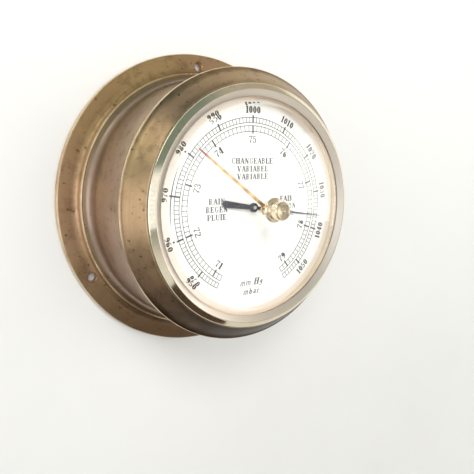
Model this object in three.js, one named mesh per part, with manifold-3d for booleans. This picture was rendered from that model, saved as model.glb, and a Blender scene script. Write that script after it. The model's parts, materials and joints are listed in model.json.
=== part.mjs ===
// Ship's aneroid barometer in a flanged brass case.
// Millimetres. Origin at the centre of the rear (wall) face, +X to the reader's
// right, +Y into the wall, +Z up. The dial faces -Y. The turned pieces are
// revolved about the Y axis, so a profile point is [radius, y].
import * as THREE from 'three';
import { mergeVertices } from 'three/addons/utils/BufferGeometryUtils.js';
import Module from 'manifold-3d';

const wasm = await Module();
wasm.setup();

// ---------------------------------------------------------------- dimensions
const SEG = 48;               // facets round a large turned piece
const GAP = 0.1;              // running and assembly clearance between pieces

const FLANGE_R = 75;          // mounting flange, 150 mm across
const FLANGE_T = 3.0;         // flange thickness
const SCREW_R = 69;           // pitch radius of the three wall screw holes
const SCREW_HOLE_R = 2.05;
const SCREW_ANGLES = [0, -120, 120];   // clockwise from the top, seen from the front
const BEAD_R = 65.2;          // raised bead at the root of the drum
const BEAD_Y = -6.3;
const DRUM_R = 60.4;          // outside of the drum
const DRUM_IN = 58.9;         // inside of the drum
const DRUM_FRONT = -44.4;     // front edge of the drum
const COVER_R = 63.7;         // back cover
const COVER_T = 1.5;

const LIP_R = 62.95;          // rolled lip of the front ring
const CONE_FRONT_R = 55.3;    // small end of its cone
const CONE_FRONT_Y = -55.3;
const RING_BORE = 51.2;
const DIAL_SEAT_Y = -48.5;

const BEZEL_R = 54.85;
const BEZEL_BACK_Y = -55.4;
const CREST_R = 52.3;         // highest circle of the bezel
const CREST_Y = -57.7;
const LIP_IN_R = 49.15;       // inner edge of the bezel lip

const GLASS_R = 50.3;
const GLASS_BACK_Y = -52.9;
const BEVEL_R = 45.9;         // inner line of the bevel
const BEVEL_Y = -58.3;
const DOME_Y = -66.0;         // front of the dome on the axis
const GLASS_T = 3.0;
const GLASS_HOLE_R = 1.8;

const DIAL_R = 50.9;
const DIAL_FRONT_Y = -49.6;
const DIAL_T = 1.0;
const DIAL_HOLE_R = 1.8;

const HAND_ANGLE = 98.06;     // pressure hand at rest, 1036 mbar
const HAND_TIP_R = 41.5;
const HAND_TAIL_R = 17.2;
const HAND_Y = -50.55;        // back of the blade
const SET_ANGLE = -49.6;      // set hand at rest
const SET_TIP_R = 40.6;

const PLATE_R = 42;           // base plate of the movement
const PLATE_Y = -7.0;         // its rear face
const PLATE_T = 2.0;
const CAPSULE_R = 22;
const CAPSULE_BACK_Y = -11.0;
const CAPSULE_T = 10.0;
const SPRING_W = 14;
const SPRING_T = 0.8;
const SPRING_Y = -27;         // middle of the leaf where it crosses the capsule
const SHAFT_X = 33;           // rocking shaft
const SHAFT_Y = -22;
const ARM_LONG = 16;
const ARM_SHORT = 3;
const ARM_TILT = -9.8;        // rocking shaft at rest, degrees
const DRUM_PULLEY_R = 1.6;    // chain drum on the pointer arbor
const CHAIN_Y = -37.8;
const BRIDGE_Z = 27;          // pillars above and below the arbor
const REAR_BRIDGE_Y = -32;
const FRONT_BRIDGE_Y = -43;

// ------------------------------------------------------------------ helpers
const rad = (d) => (d * Math.PI) / 180;

function area(p) {
  let a = 0;
  for (let i = 0; i < p.length; i++) {
    const [x0, y0] = p[i];
    const [x1, y1] = p[(i + 1) % p.length];
    a += x0 * y1 - x1 * y0;
  }
  return a / 2;
}

// A closed [radius, y] outline turned about the Y axis.
function turned(outline, seg = SEG) {
  const p = area(outline) > 0 ? outline.slice() : outline.slice().reverse();
  const onAxis = p.findIndex(([r], i) => r === 0 && p[(i + 1) % p.length][0] !== 0
    && p[(i + p.length - 1) % p.length][0] === 0);
  let q;
  if (onAxis >= 0) q = [...p.slice(onAxis), ...p.slice(0, onAxis)];
  else q = [...p, p[0]];
  return clean(new THREE.LatheGeometry(q.map(([r, y]) => new THREE.Vector2(r, y)), seg));
}

function clean(g) {
  g.deleteAttribute('normal');
  g.deleteAttribute('uv');
  return mergeVertices(g, 1e-4);
}

function ring(r0, r1, y0, y1, seg = SEG) {
  return turned([[r0, y0], [r1, y0], [r1, y1], [r0, y1]], seg);
}

function rod(r, y0, y1, seg = 16) {
  return turned([[0, y0], [r, y0], [r, y1], [0, y1]], seg);
}

function shapeOf(points, holes = []) {
  const s = new THREE.Shape(points.map(([x, y]) => new THREE.Vector2(x, y)));
  for (const h of holes) s.holes.push(new THREE.Path(h.map(([x, y]) => new THREE.Vector2(x, y))));
  return s;
}

function circle(cx, cy, r, n) {
  return Array.from({ length: n }, (_, i) => {
    const t = (i / n) * 2 * Math.PI;
    return [cx + r * Math.cos(t), cy + r * Math.sin(t)];
  });
}

// An [x, z] outline, from its rear plane y1 forward to y0.
function plate(points, y0, y1, holes = []) {
  const g = new THREE.ExtrudeGeometry(shapeOf(points, holes), { depth: y1 - y0, bevelEnabled: false, steps: 1 });
  g.rotateX(Math.PI / 2);
  g.translate(0, y1, 0);
  return clean(g);
}

// An [x, y] outline, from z0 up to z1.
function bar(points, z0, z1, holes = []) {
  const g = new THREE.ExtrudeGeometry(shapeOf(points, holes), { depth: z1 - z0, bevelEnabled: false, steps: 1 });
  g.translate(0, 0, z0);
  return clean(g);
}

function at(g, x, y, z) {
  g.translate(x, y, z);
  return g;
}

function solid(g) {
  return new wasm.Manifold(new wasm.Mesh({
    numProp: 3,
    vertProperties: new Float32Array(g.attributes.position.array),
    triVerts: new Uint32Array(g.index.array),
  }));
}

function geometry(m) {
  const mesh = m.getMesh();
  const n = mesh.vertProperties.length / mesh.numProp;
  const pos = new Float32Array(n * 3);
  for (let i = 0; i < n; i++) {
    for (let k = 0; k < 3; k++) pos[3 * i + k] = mesh.vertProperties[i * mesh.numProp + k];
  }
  const g = new THREE.BufferGeometry();
  g.setAttribute('position', new THREE.BufferAttribute(pos, 3));
  g.setIndex(new THREE.BufferAttribute(new Uint32Array(mesh.triVerts), 1));
  return clean(g);
}

function cut(g, ...tools) {
  let m = solid(g);
  for (const t of tools) m = m.subtract(solid(t));
  return geometry(m);
}

function join(g, ...others) {
  let m = solid(g);
  for (const t of others) m = m.add(solid(t));
  return geometry(m);
}

function box(x0, x1, y0, y1, z0, z1) {
  const g = new THREE.BoxGeometry(x1 - x0, y1 - y0, z1 - z0);
  g.translate((x0 + x1) / 2, (y0 + y1) / 2, (z0 + z1) / 2);
  return clean(g);
}

function nut(rHole, rOuter, y0, y1) {
  return plate(circle(0, 0, rOuter, 6), y0, y1, [circle(0, 0, rHole, 12).reverse()]);
}

// Clockwise angle from the top, seen from the front, to [x, z].
const polar = (r, deg) => [r * Math.sin(rad(deg)), r * Math.cos(rad(deg))];

// A flat strip along a polyline of centre points, given its half thickness.
function strip(centre, half) {
  const left = [];
  const right = [];
  for (let i = 0; i < centre.length; i++) {
    const a = centre[Math.max(0, i - 1)];
    const b = centre[Math.min(centre.length - 1, i + 1)];
    const l = Math.hypot(b[0] - a[0], b[1] - a[1]);
    const n = [-(b[1] - a[1]) / l, (b[0] - a[0]) / l];
    left.push([centre[i][0] + n[0] * half, centre[i][1] + n[1] * half]);
    right.push([centre[i][0] - n[0] * half, centre[i][1] - n[1] * half]);
  }
  return [...left, ...right.reverse()];
}

const FINISH = {
  aged: ['#7d6242', 0.42, 1.0],
  drum: ['#86705f', 0.4, 1.0],
  polished: ['#d9c08a', 0.16, 1.0],
  glass: ['#eef4f2', 0.03, 0.0],
  white: ['#f4f3ef', 0.5, 0.0],
  brass: ['#b8965a', 0.35, 1.0],
  steel: ['#9a9da0', 0.35, 1.0],
  blued: ['#1d2836', 0.35, 0.9],
  capsule: ['#b9bcbd', 0.3, 1.0],
  gold: ['#c79a4e', 0.25, 1.0],
  rubber: ['#2b2a28', 0.8, 0.0],
  felt: ['#7a3028', 0.95, 0.0],
};

const barometer = new THREE.Group();
barometer.name = 'barometer';

function piece(name, g, finish, parent = barometer) {
  const [color, roughness, metalness] = FINISH[finish];
  const material = new THREE.MeshStandardMaterial({ color, roughness, metalness });
  if (finish === 'glass') {
    material.transparent = true;
    material.opacity = 0.25;
  }
  const mesh = new THREE.Mesh(g, material);
  mesh.name = name;
  parent.add(mesh);
  return mesh;
}

// --------------------------------------------------------------------- case
// Flange, bead, cove and drum are one turned shell, rebated behind for the cover.
{
  const outline = [
    [DRUM_IN, -COVER_T - GAP], [COVER_R + 0.2, -COVER_T - GAP], [COVER_R + 0.2, 0],
    [FLANGE_R, 0], [FLANGE_R, -FLANGE_T + 0.7], [FLANGE_R - 0.6, -FLANGE_T],
    [67.0, -FLANGE_T], [66.1, -3.7], [65.5, -4.9], [BEAD_R, -5.9], [64.75, BEAD_Y], [64.2, BEAD_Y],
  ];
  for (let i = 1; i <= 4; i++) {
    const t = rad(90 - i * 22.5);
    outline.push([64.2 - 3.8 * Math.cos(t), -12 + 5.7 * Math.sin(t)]);
  }
  outline.push([DRUM_R, -33], [DRUM_R + 0.5, -40], [DRUM_R + 1.1, DRUM_FRONT], [DRUM_IN, DRUM_FRONT]);
  const holes = SCREW_ANGLES.map((a) => {
    const [x, z] = polar(SCREW_R, a);
    return at(rod(SCREW_HOLE_R, -FLANGE_T - 2, 2, 14), x, 0, z);
  });
  const threads = [60, 180, 300].map((a) => {
    const [x, z] = polar(61.4, a);
    return at(rod(1.15, -6, 0.5, 10), x, 0, z);
  });
  piece('case_shell', cut(turned(outline), ...holes, ...threads), 'aged');
}

// Back cover, flush with the flange, with one hole for the adjusting screw.
const ADJUST = [-36, 0];
const STANDOFFS = [40, 140, 220, 320].map((a) => polar(34, a));
const COVER_SCREWS = [60, 180, 300].map((a) => polar(61.4, a));
function countersunk(rHead, rShank, y0, yTip, grow, seg = 10) {
  return turned([[0, y0 + (grow ? 0.5 : 0)], [rHead + grow, y0 + (grow ? 0.5 : 0)], [rHead + grow, y0 - 0.1],
    [rShank + grow, y0 - (rHead - rShank) - 0.1], [rShank + grow, yTip - grow], [0, yTip - grow]], seg);
}
function slotted(g, r, y, depth) {
  return cut(g, box(-r - 1, r + 1, y - depth, y + 1, -0.35, 0.35));
}
{
  const blank = plate(circle(0, 0, COVER_R, SEG), -COVER_T, 0, [circle(ADJUST[0], ADJUST[1], 3, 16).reverse()]);
  const tools = [...STANDOFFS, ...COVER_SCREWS].map(([x, z], i) =>
    at(countersunk(i < STANDOFFS.length ? 2.4 : 1.9, i < STANDOFFS.length ? 1.4 : 1.05, 0, -3, 0.12, 10), x, 0, z));
  piece('back_cover', cut(blank, ...tools), 'brass');
}
COVER_SCREWS.forEach(([x, z], i) => {
  piece(`cover_screw_${i + 1}`, at(slotted(countersunk(1.9, 1.05, -0.05, -5.2, 0, 10), 2, -0.05, 0.5), x, 0, z), 'brass');
});

// Front ring: spigot into the drum, rolled lip, cone and dial seat.
piece('front_ring', turned([
  [56.5, -40], [DRUM_IN - GAP, -40], [DRUM_IN - GAP, DRUM_FRONT - GAP], [62.1, DRUM_FRONT - GAP],
  [62.75, -45.1], [LIP_R, -45.9], [62.55, -46.7], [CONE_FRONT_R, CONE_FRONT_Y], [RING_BORE, CONE_FRONT_Y],
  [RING_BORE, DIAL_SEAT_Y], [46.5, DIAL_SEAT_Y], [46.5, -47], [56.5, -46],
]), 'aged');

// Bezel: chamfered crest, inward slope to the glass, skirt into the ring's bore.
piece('bezel_ring', turned([
  [RING_BORE - GAP, BEZEL_BACK_Y], [BEZEL_R, BEZEL_BACK_Y], [BEZEL_R, -55.8],
  [CREST_R + 0.25, CREST_Y + 0.1], [CREST_R - 0.25, CREST_Y], [LIP_IN_R, -56.05], [LIP_IN_R + 0.1, -55.8],
  [GLASS_R - 0.1, -54.9], [GLASS_R + 0.15, -54.9], [GLASS_R + 0.15, -52.4], [RING_BORE - GAP, -52.4],
]), 'polished');

// Domed glass with a bevelled rim.
{
  const rise = BEVEL_Y - DOME_Y;
  const ball = (BEVEL_R ** 2 + rise ** 2) / (2 * rise);
  const front = (r) => DOME_Y + ball - Math.sqrt(ball ** 2 - r ** 2);
  const outline = [];
  for (const r of [GLASS_HOLE_R, 18, 32]) outline.push([r, front(r)]);
  outline.push([BEVEL_R, BEVEL_Y], [49.75, -55.02], [GLASS_R, -54.8], [GLASS_R, GLASS_BACK_Y], [47.7, GLASS_BACK_Y]);
  for (const r of [46, 32, 18, GLASS_HOLE_R]) outline.push([r, front(r) + GLASS_T]);
  piece('glass', turned(outline), 'glass');
}
piece('glass_gasket', ring(49.3, GLASS_R - 0.1, -52.8, -52.4), 'rubber');
piece('spacer_ring', ring(49.2, RING_BORE - 0.2, -52.3, DIAL_FRONT_Y - 0.05), 'polished');
piece('dial_plate', plate(circle(0, 0, DIAL_R, SEG), DIAL_FRONT_Y, DIAL_FRONT_Y + DIAL_T,
  [circle(0, 0, DIAL_HOLE_R, 20).reverse()]), 'white');

// ----------------------------------------------------------------- movement
{
  const holes = [
    circle(ADJUST[0], ADJUST[1], 1.75, 10).reverse(),
    circle(0, 0, 2.25, 12).reverse(),
    ...STANDOFFS.map(([x, z]) => circle(x, z, 1.55, 10).reverse()),
    circle(0, BRIDGE_Z, 1.3, 10).reverse(), circle(0, -BRIDGE_Z, 1.3, 10).reverse(),
    circle(-27.5, 12, 1.2, 10).reverse(), circle(-27.5, -12, 1.2, 10).reverse(),
    circle(SHAFT_X, 13, 1.2, 10).reverse(), circle(SHAFT_X, -13, 1.2, 10).reverse(),
  ];
  piece('base_plate', plate(circle(0, 0, PLATE_R, 40), PLATE_Y - PLATE_T, PLATE_Y, holes), 'brass');
}
STANDOFFS.forEach(([x, z], i) => {
  piece(`standoff_${i + 1}`, at(ring(1.65, 3.5, PLATE_Y + GAP, -COVER_T - GAP, 12), x, 0, z), 'brass');
  piece(`movement_screw_${i + 1}`, at(slotted(countersunk(2.4, 1.4, -0.05, -10.5, 0, 10), 2.5, -0.05, 0.6), x, 0, z), 'steel');
});

// Corrugated capsule with its rear stud and front stem.
{
  const b = CAPSULE_BACK_Y;
  const f = CAPSULE_BACK_Y - CAPSULE_T;
  const outline = [[0, -4.6], [2, -4.6], [2, PLATE_Y - PLATE_T - GAP], [6, PLATE_Y - PLATE_T - GAP], [6, b],
    [8, b], [10.5, b - 0.8], [13, b], [15.5, b - 0.8], [18, b], [20.4, b], [CAPSULE_R, b - 5],
    [20.4, f], [18, f], [15.5, f + 0.8], [13, f], [10.5, f + 0.8], [8, f], [5, f],
    [4, f - 1.5], [1.8, f - 1.5], [1.8, -30], [0, -30]];
  piece('capsule', turned(outline, 24), 'capsule');
}
piece('capsule_nut', nut(2.15, 4, PLATE_Y + GAP, -4.8), 'steel');

// Leaf spring: foot on the plate, round bend, and a tongue over the capsule.
{
  const centre = [[-23.6, -9.7], [-30, -9.7]];
  const r = (-9.7 - SPRING_Y) / 2;
  for (let i = 1; i < 8; i++) {
    const t = rad(90 + i * 22.5);
    centre.push([-30 + r * Math.cos(t), (-9.7 + SPRING_Y) / 2 + r * Math.sin(t)]);
  }
  centre.push([-30, SPRING_Y], [9, SPRING_Y]);
  const leaf = bar(strip(centre, SPRING_T / 2), -SPRING_W / 2, SPRING_W / 2);
  piece('main_spring', cut(leaf, rod(2.5, -30, -24, 16), at(rod(1.15, -30, -24, 10), 6.6, 0, 0)), 'steel');
}
{
  const profile = [[-15, -9.1], [-7.3, -9.1], [-7.3, -10.3], [7.3, -10.3], [7.3, -9.1], [15, -9.1], [15, -13], [-15, -13]];
  const g = new THREE.ExtrudeGeometry(shapeOf(profile), { depth: 6.9, bevelEnabled: false, steps: 1 });
  // profile is [z, y]: turn it so that its depth runs along X
  g.rotateY(Math.PI / 2);
  g.scale(1, 1, -1);
  const block = clean(g);
  const idx = block.index.array;
  for (let i = 0; i < idx.length; i += 3) [idx[i], idx[i + 1]] = [idx[i + 1], idx[i]];
  at(block, -30.4, 0, 0);
  piece('spring_anchor', cut(block, at(rod(1.2, -14, -8, 10), -27.5, 0, 12), at(rod(1.2, -14, -8, 10), -27.5, 0, -12)), 'brass');
}
function cheese(rHead, rShank, yTop, hHead, yTip, seg = 10) {
  return slotted2(turned([[0, yTop], [rHead, yTop], [rHead, yTop + hHead], [rShank, yTop + hHead], [rShank, yTip], [0, yTip]], seg), yTop);
}
function slotted2(g, yTop) {
  return cut(g, box(-6, 6, yTop - 1, yTop + 0.5, -0.3, 0.3));
}
[12, -12].forEach((z, i) => {
  piece(`anchor_screw_${i + 1}`, at(cheese(2.1, 1.05, -14.5, 1.4, -7.2), -27.5, 0, z), 'steel');
});
piece('stem_collar', ring(2.3, 4.2, -29, -27.5, 12), 'brass');

// Main lever, screwed to the tongue and reaching to the link.
{
  const blade = plate([[3.2, -2.6], [8.6, -2.6], [28, -1.4], [31.4, -1.4], [31.4, 1.4], [28, 1.4], [8.6, 2.6], [3.2, 2.6]].map(([x, z]) => [x < 4 ? 4.6 : x, z]),
    -28.7, -27.5, [circle(6.6, 0, 1.2, 10).reverse()]);
  piece('main_lever', blade, 'steel');
  piece('lever_screw', at(cheese(1.9, 1.0, -29.9, 1.1, -25.6), 6.6, 0, 0), 'steel');
}

// Rocking shaft: long arm to the chain, short arm to the link.
{
  const turnedShaft = rod(1.1, -11.6, 11.6, 12);
  turnedShaft.rotateX(Math.PI / 2);
  const ends = rod(0.6, -14.6, 14.6, 10);
  ends.rotateX(Math.PI / 2);
  const long = bar([[-0.7, 0.4], [0.7, 0.4], [0.7, -ARM_LONG + 0.6], [-0.7, -ARM_LONG + 0.6]], -2.4, -1.4);
  const short = bar([[-ARM_SHORT - 0.5, -0.5], [0.4, -0.5], [0.4, 0.5], [-ARM_SHORT - 0.5, 0.5]], -0.7, 0.7);
  const group = new THREE.Group();
  group.position.set(SHAFT_X, SHAFT_Y, 0);
  group.rotation.z = rad(ARM_TILT);
  barometer.add(group);
  piece('rocking_shaft', join(turnedShaft, ends, long, short), 'steel', group);
}
[['upper', 1], ['lower', -1]].forEach(([name, s]) => {
  const post = bar([[SHAFT_X - 2.5, -9.1], [SHAFT_X + 2.5, -9.1], [SHAFT_X + 1.9, -24.4], [SHAFT_X - 1.9, -24.4]],
    s > 0 ? 12 : -14, s > 0 ? 14 : -12);
  const bore = rod(0.75, -20, 20, 12);
  bore.rotateX(Math.PI / 2);
  at(bore, SHAFT_X, SHAFT_Y, 0);
  piece(`shaft_post_${name}`, cut(post, bore, at(rod(0.9, -12, -8.5, 10), SHAFT_X, 0, 13 * s)), 'brass');
  piece(`post_screw_${name}`, at(turned([[0, -11.6], [0.8, -11.6], [0.8, PLATE_Y + GAP], [1.9, PLATE_Y + GAP], [1.9, PLATE_Y + 1.3], [0, PLATE_Y + 1.3]], 12), SHAFT_X, 0, 13 * s), 'steel');
});

// Link between the lever and the short arm.
{
  const a = rad(ARM_TILT);
  const x = SHAFT_X - ARM_SHORT * Math.cos(a);
  const yArm = SHAFT_Y - ARM_SHORT * Math.sin(a);
  piece('link_rod', at(rod(0.45, -27.2, yArm - 0.85, 8), x, 0, 0), 'steel');
}

// Bridges, pillars and nuts.
function bridge(y, holeR) {
  const w = 4.5;
  return plate([[-w, -BRIDGE_Z - 3], [w, -BRIDGE_Z - 3], [w, BRIDGE_Z + 3], [-w, BRIDGE_Z + 3]], y - 1.5, y,
    [circle(0, 0, holeR, 12).reverse(), circle(0, BRIDGE_Z, 1.4, 10).reverse(), circle(0, -BRIDGE_Z, 1.4, 10).reverse()]);
}
piece('rear_bridge', bridge(REAR_BRIDGE_Y, 0.95), 'brass');
piece('front_bridge', bridge(FRONT_BRIDGE_Y, 1.6), 'brass');
[['upper', 1], ['lower', -1]].forEach(([name, s]) => {
  const z = s * BRIDGE_Z;
  piece(`pillar_${name}`, at(turned([[0, PLATE_Y - 0.2], [1.2, PLATE_Y - 0.2], [1.2, PLATE_Y - PLATE_T - GAP], [2.6, PLATE_Y - PLATE_T - GAP],
    [2.6, REAR_BRIDGE_Y + GAP], [1.2, REAR_BRIDGE_Y + GAP], [1.2, -46.6], [0, -46.6]], 12), 0, 0, z), 'brass');
  piece(`bridge_spacer_${name}`, at(ring(1.4, 2.6, FRONT_BRIDGE_Y + GAP, REAR_BRIDGE_Y - 1.5 - GAP, 12), 0, 0, z), 'brass');
  piece(`bridge_nut_${name}`, at(nut(1.35, 2.9, -46.4, FRONT_BRIDGE_Y - 1.5 - GAP), 0, 0, z), 'steel');
});

// Pointer arbor with its chain drum.
piece('pointer_arbor', turned([[0, -31.6], [0.75, -31.6], [0.75, -33.8], [1.1, -33.8], [1.1, CHAIN_Y + 1.7], [2.4, CHAIN_Y + 1.7],
  [2.4, CHAIN_Y + 1.2], [DRUM_PULLEY_R, CHAIN_Y + 1.2], [DRUM_PULLEY_R, CHAIN_Y - 1.2], [2.4, CHAIN_Y - 1.2], [2.4, CHAIN_Y - 1.7],
  [1.1, CHAIN_Y - 1.7], [1.1, -50.1], [0.8, -50.1], [0.8, -51.9], [0, -51.9]], 12), 'steel');

// Fusee chain: a scalloped strip of flat links, pulled along X.
{
  const zc = -DRUM_PULLEY_R - 0.35;
  const n = 9;
  const x0 = 0;
  const x1 = SHAFT_X + ARM_LONG * Math.sin(rad(ARM_TILT)) - 1.9;
  const top = [];
  const bottom = [];
  for (let i = 0; i <= n; i++) {
    const x = x0 + ((x1 - x0) * i) / n;
    top.push([x, zc + 0.12]);
    bottom.push([x, zc - 0.12]);
    if (i < n) {
      const h = (x1 - x0) / n;
      top.push([x + h * 0.3, zc + 0.25], [x + h * 0.7, zc + 0.25]);
      bottom.push([x + h * 0.3, zc - 0.25], [x + h * 0.7, zc - 0.25]);
    }
  }
  piece('chain', plate([...top, ...bottom.reverse()], CHAIN_Y - 0.35, CHAIN_Y + 0.35), 'steel');
}

// Hairspring, one flat spiral, and the stud that holds its outer end.
{
  const centre = [];
  const turns = 3;
  const steps = turns * 12;
  for (let i = 0; i <= steps; i++) {
    const t = (i / 12) * 2 * Math.PI;
    const r = 2.0 + (6.0 * i) / steps;
    centre.push([r * Math.cos(t), r * Math.sin(t)]);
  }
  piece('hairspring', plate(strip(centre, 0.13), -41.4, -40.6), 'blued');
  piece('hairspring_stud', at(turned([[0, -42.9], [0.9, -42.9], [0.9, -40.3], [0, -40.3]], 10), 9.1 - 0, 0, 0), 'brass');
}

// Adjusting screw, reached through the hole in the cover.
piece('adjusting_screw', at(slotted(turned([[0, -10.4], [1.2, -10.4], [1.2, -6.4], [2.5, -6.4], [2.5, -3.2], [0, -3.2]], 16), 3, -3.2, 1.1), ADJUST[0], 0, ADJUST[1]), 'brass');

// -------------------------------------------------------------------- hands
// Blades are drawn pointing up (+Z) and turned clockwise to their reading.
function blade(points, y0, y1, deg, holes = []) {
  const g = plate(points, y0, y1, holes);
  g.rotateY(rad(deg));
  return g;
}
{
  const y = HAND_Y;
  const disc = ring(0.9, 2.15, y - 1.15, y + 0.1, 20);
  const arm = blade([[-0.8, 1.2], [-0.55, 20], [-0.16, HAND_TIP_R], [0.16, HAND_TIP_R], [0.55, 20], [0.8, 1.2]], y - 0.4, y, HAND_ANGLE);
  const tail = blade([[1.0, -1.2], [1.6, -HAND_TAIL_R + 1.5], [0, -HAND_TAIL_R], [-1.6, -HAND_TAIL_R + 1.5], [-1.0, -1.2]], y - 0.4, y, HAND_ANGLE);
  piece('pressure_hand', cut(join(disc, arm, tail), rod(0.9, y - 3, y + 3, 20)), 'blued');
}

// Set hand: knob and washer in front of the glass; washer, boss, blade and nut behind it.
piece('set_knob', turned([
  [1.55, -66.45], [5.5, -66.45], [5.5, -67.6], [5.2, -68.0], [4.15, -68.1], [4.15, -72.5], [3.75, -73], [3.1, -73],
  [2.9, -72.7], [1.5, -72.7], [0, -71.9], [0, -71.2], [1.55, -71.2],
], 20), 'gold');
piece('knob_washer', ring(1.9, 5.0, -66.35, -66.05, 20), 'felt');
piece('set_shaft', rod(1.5, -71.1, -59.0, 16), 'brass');
piece('spring_washer', ring(1.7, 3.0, -62.8, -62.5, 14), 'steel');
piece('set_boss', ring(1.6, 2.9, -62.4, -61.3, 20), 'gold');
{
  const slope = (61.0 - 54.2) / SET_TIP_R;
  const g = plate([[-1.0, 0], [-0.75, 6], [-0.5, 34], [0, SET_TIP_R], [0.5, 34], [0.75, 6], [1.0, 0]], -0.2, 0.2);
  g.rotateX(-Math.atan(slope));
  const collar = ring(1.6, 2.6, -61.2, -60.2, 20);
  g.translate(0, -60.75, 0);
  g.rotateY(rad(SET_ANGLE));
  piece('set_hand', cut(join(collar, g), rod(1.6, -64, -50, 20)), 'gold');
}
piece('shaft_nut', nut(1.65, 2.8, -60.1, -59.1), 'brass');

export default barometer;
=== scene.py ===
import json
import math

import bmesh
import bpy
import numpy as np
from mathutils import Matrix, Vector


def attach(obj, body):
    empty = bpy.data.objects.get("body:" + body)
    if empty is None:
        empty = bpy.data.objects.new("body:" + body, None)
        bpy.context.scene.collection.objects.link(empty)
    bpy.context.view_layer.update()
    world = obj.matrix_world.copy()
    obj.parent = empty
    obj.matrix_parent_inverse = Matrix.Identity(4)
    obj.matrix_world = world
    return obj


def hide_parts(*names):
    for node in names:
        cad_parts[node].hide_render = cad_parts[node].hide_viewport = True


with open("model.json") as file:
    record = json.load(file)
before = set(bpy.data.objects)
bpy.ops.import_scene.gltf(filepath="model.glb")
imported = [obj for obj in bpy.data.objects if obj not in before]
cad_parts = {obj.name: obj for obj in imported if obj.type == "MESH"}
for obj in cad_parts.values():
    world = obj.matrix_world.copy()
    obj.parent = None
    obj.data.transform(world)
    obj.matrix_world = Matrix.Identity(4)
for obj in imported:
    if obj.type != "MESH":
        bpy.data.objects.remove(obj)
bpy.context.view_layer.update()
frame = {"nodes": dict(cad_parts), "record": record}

MM = 0.001
rad = math.radians

# ------------------------------------------------------------------ dimensions (mm)
GLASS_T = 3.0
BEVEL_R, BEVEL_Y, DOME_Y = 45.9, -58.3, -66.0
DIAL_Y = -49.6
HAND_ANGLE = 98.06
HAND_TIP_R = 41.5
HAND_TAIL_R = 17.2
HAND_Y = -50.55
SET_ANGLE = -49.6
SET_TIP_R = 40.6

# ------------------------------------------------------------------ camera
AZ, EL, ROLL, TX, TY = rad(-30.39), rad(4.33), rad(-0.10), rad(4.43), rad(-4.03)
DIST = 282.4
back = Vector((math.sin(AZ) * math.cos(EL), -math.cos(AZ) * math.cos(EL), math.sin(EL)))
place = back * DIST
fwd = -back
right = fwd.cross(Vector((0, 0, 1))).normalized()
up = right.cross(fwd)
r2 = right * math.cos(ROLL) + up * math.sin(ROLL)
u2 = -right * math.sin(ROLL) + up * math.cos(ROLL)
f3 = fwd * math.cos(TX) + r2 * math.sin(TX)
r3 = r2 * math.cos(TX) - fwd * math.sin(TX)
f4 = f3 * math.cos(TY) + u2 * math.sin(TY)
u4 = u2 * math.cos(TY) - f3 * math.sin(TY)
cam_data = bpy.data.cameras.new("camera")
cam = bpy.data.objects.new("camera", cam_data)
bpy.context.scene.collection.objects.link(cam)
cam.matrix_world = Matrix((
    (r3.x, u4.x, -f4.x, place.x * MM),
    (r3.y, u4.y, -f4.y, place.y * MM),
    (r3.z, u4.z, -f4.z, place.z * MM),
    (0, 0, 0, 1),
))
cam_data.sensor_width = 36
cam_data.lens = 521.2 / 474 * 36
cam_data.clip_start = 0.01
cam_data.clip_end = 20
bpy.context.scene.camera = cam


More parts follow.
